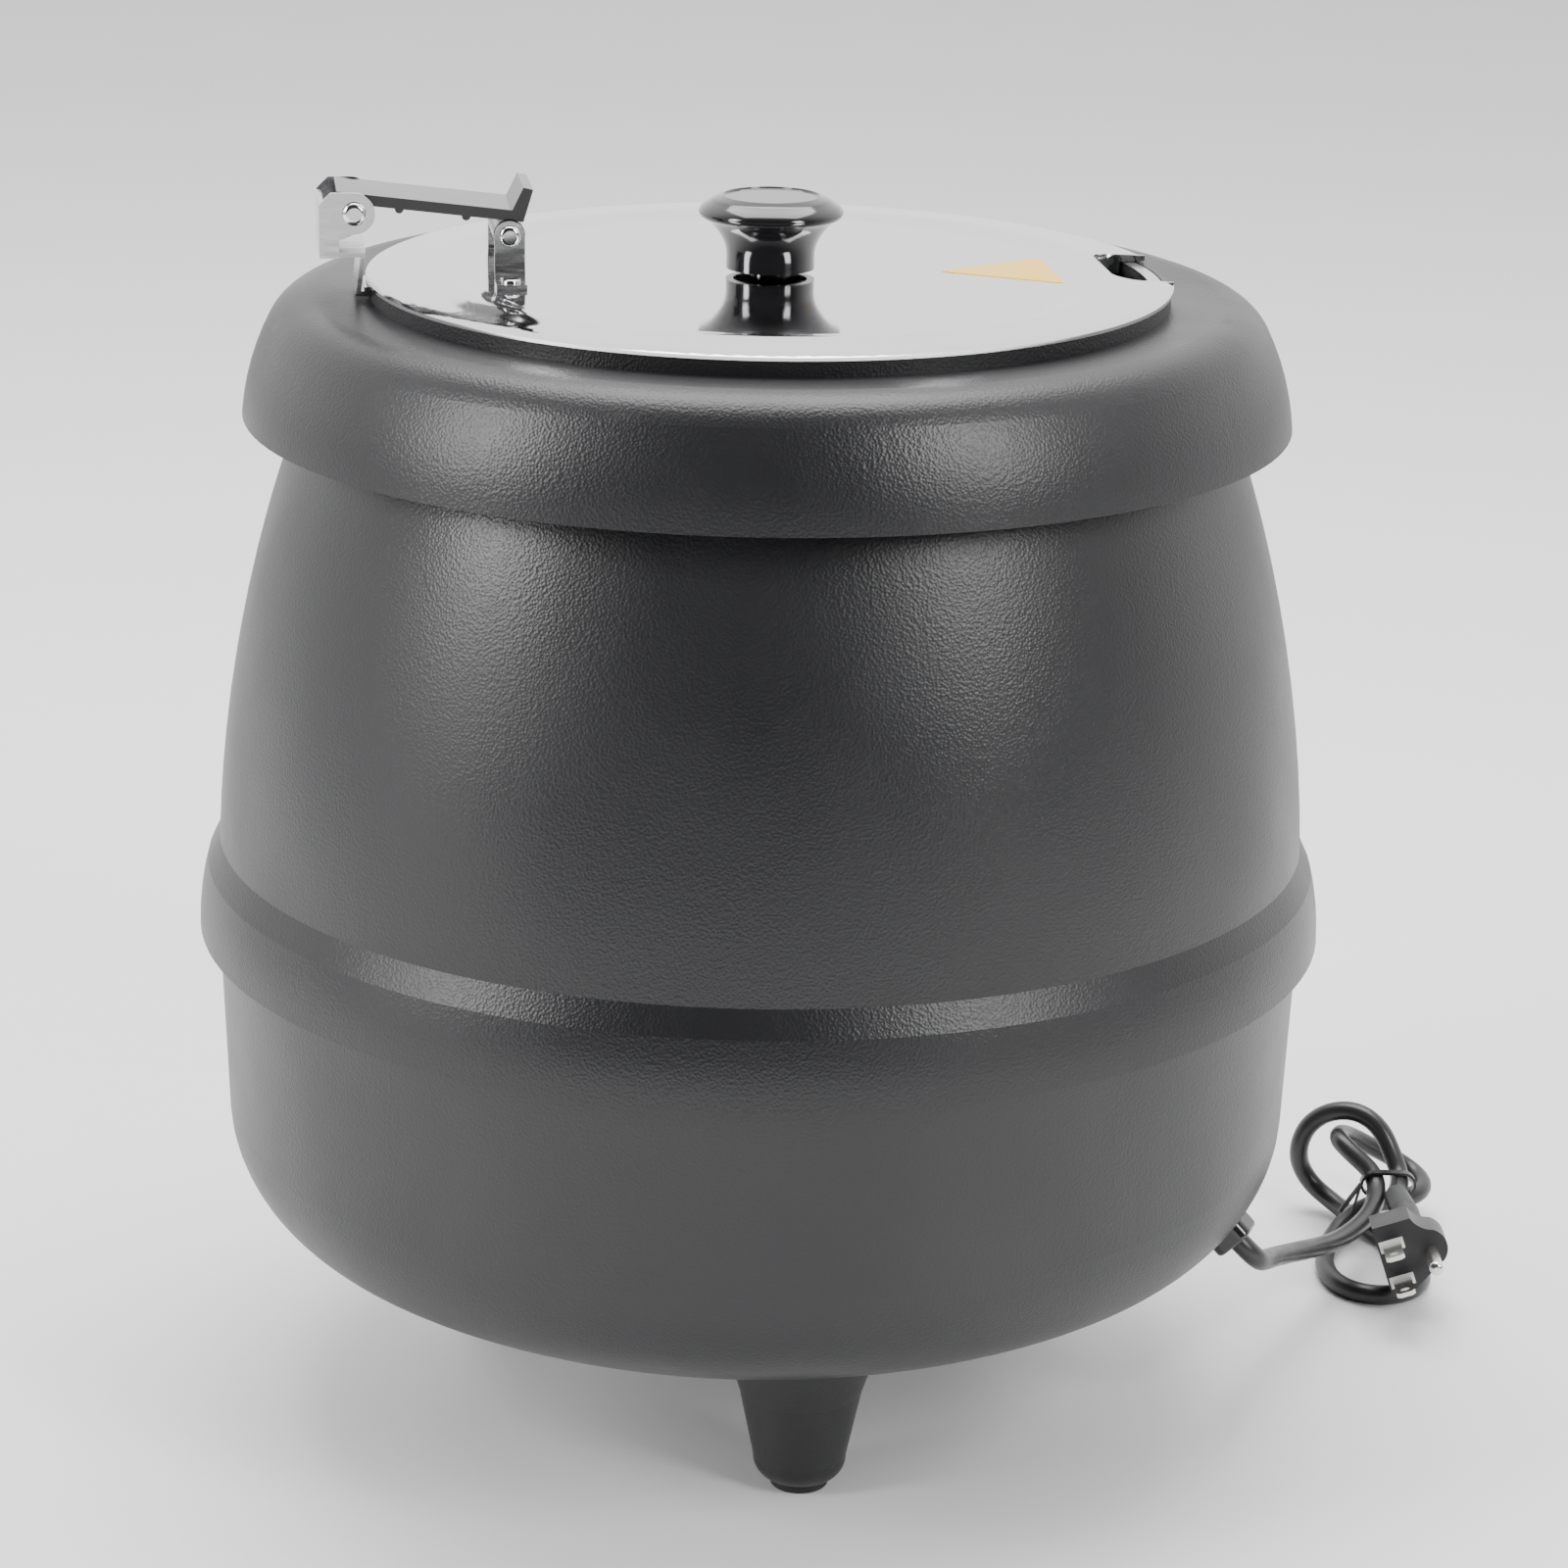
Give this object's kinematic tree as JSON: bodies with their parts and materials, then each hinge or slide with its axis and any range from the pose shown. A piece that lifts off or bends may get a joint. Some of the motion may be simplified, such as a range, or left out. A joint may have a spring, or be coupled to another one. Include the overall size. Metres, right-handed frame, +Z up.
{
  "type": "soup kettle",
  "caption": "Round wet-heat soup kettle: black moulded casing on feet, lift-out steel pot, hinged steel lid with a ladle notch and knob, and a tied mains lead with plug.",
  "frame": {"origin": "on the kettle's vertical axis at the floor, where the foot pads stand", "axes": "+Z up; the lid's hinge is on the -X side and the ladle notch on the +X side; the dial and lamp face +Y; the mains lead leaves the bowl at +X, a little towards -Y"},
  "size_m": [0.416, 0.35, 0.388],
  "materials": {
    "black_casing": "pebble-grain moulded plastic",
    "foot_rubber": "matt rubber",
    "base_plastic": "matt plastic",
    "screw_steel": "zinc plated steel",
    "well_steel": "satin stainless steel",
    "spreader_aluminium": "plain aluminium",
    "element_sheath": "dull heat-stained sheath",
    "thermostat_parts": "moulded housing",
    "capillary_copper": "drawn copper",
    "panel_plastic": "smooth satin plastic",
    "dial_plastic": "gloss black plastic",
    "shaft_steel": "turned steel",
    "lamp_red": "translucent red lens",
    "gland_plastic": "gloss black plastic",
    "cord_pvc": "satin black flexible sheath",
    "tie_plastic": "coated wire",
    "plug_moulding": "moulded black plug",
    "blade_brass": "plated brass",
    "blade_seat_nylon": "white insulating seats",
    "bracket_steel": "brushed stainless steel",
    "pin_steel": "polished steel",
    "arm_plastic": "gloss black plastic",
    "lid_steel": "mirror-polished stainless steel",
    "knob_plastic": "gloss black plastic",
    "knob_fixings": "bright steel",
    "sticker_yellow": "printed film, yellow with a grey edge"
  },
  "bodies": {
    "kettle": {"base_cover": "base_plastic", "base_screws": "screw_steel", "casing_screws": "screw_steel", "clamp_nut": "screw_steel", "collar": "black_casing", "collar_screws": "screw_steel", "control_panel": "panel_plastic", "cord_gland": "gland_plastic", "cord_hank": "cord_pvc", "cord_lead": "cord_pvc", "cord_tail": "cord_pvc", "cord_tie": "tie_plastic", "element_terminals": "element_sheath", "foot_pads": "foot_rubber", "heat_spreader": "spreader_aluminium", "heater_clamp": "spreader_aluminium", "heating_element": "element_sheath", "indicator_lamp": "lamp_red", "lower_casing": "black_casing", "plug_blade_seats": "blade_seat_nylon", "plug_blades": "blade_brass", "plug_body": "plug_moulding", "plug_ground_pin": "blade_brass", "terminal_block": "thermostat_parts", "thermal_cutout": "thermostat_parts", "thermostat": "thermostat_parts", "thermostat_bulb": "capillary_copper", "upper_casing": "black_casing", "water_well": "well_steel"},
    "pot": {"inner_pot": "well_steel", "hinge_bracket": "bracket_steel", "bracket_rivets": "pin_steel", "rear_hinge_pin": "pin_steel"},
    "arm": {"hinge_arm": "arm_plastic"},
    "lid": {"lid": "lid_steel", "lid_brackets": "bracket_steel", "lid_bracket_rivets": "pin_steel", "front_hinge_pin": "pin_steel", "lid_knob": "knob_plastic", "knob_spacer": "knob_fixings", "knob_screw": "knob_fixings", "lid_sticker": "sticker_yellow"},
    "dial": {"control_dial": "dial_plastic", "dial_shaft": "shaft_steel"}
  },
  "joints": [
    {"name": "pot_lift", "type": "slide", "parent": "kettle", "child": "pot", "axis": [0, 0, 1], "range_m": [0, 0.26]},
    {"name": "lid_arm", "type": "hinge", "parent": "pot", "child": "arm", "pos_m": [-0.12433, -0.01637, 0.3808], "axis": [0.1305, -0.9914, 0], "range_deg": [0, 110]},
    {"name": "lid_tilt", "type": "hinge", "parent": "arm", "child": "lid", "pos_m": [-0.07902, -0.0104, 0.3739], "axis": [0.1305, -0.9914, 0], "range_deg": [-7, 0]},
    {"name": "dial_turn", "type": "hinge", "parent": "kettle", "child": "dial", "pos_m": [-0.0067, 0.15316, 0.11], "axis": [-0.1736, 0.9848, 0], "range_deg": [-270, 0]}
  ],
  "couplings": [
    {"joint": "lid_tilt", "follows": "lid_arm", "ratio": -0.06}
  ]
}
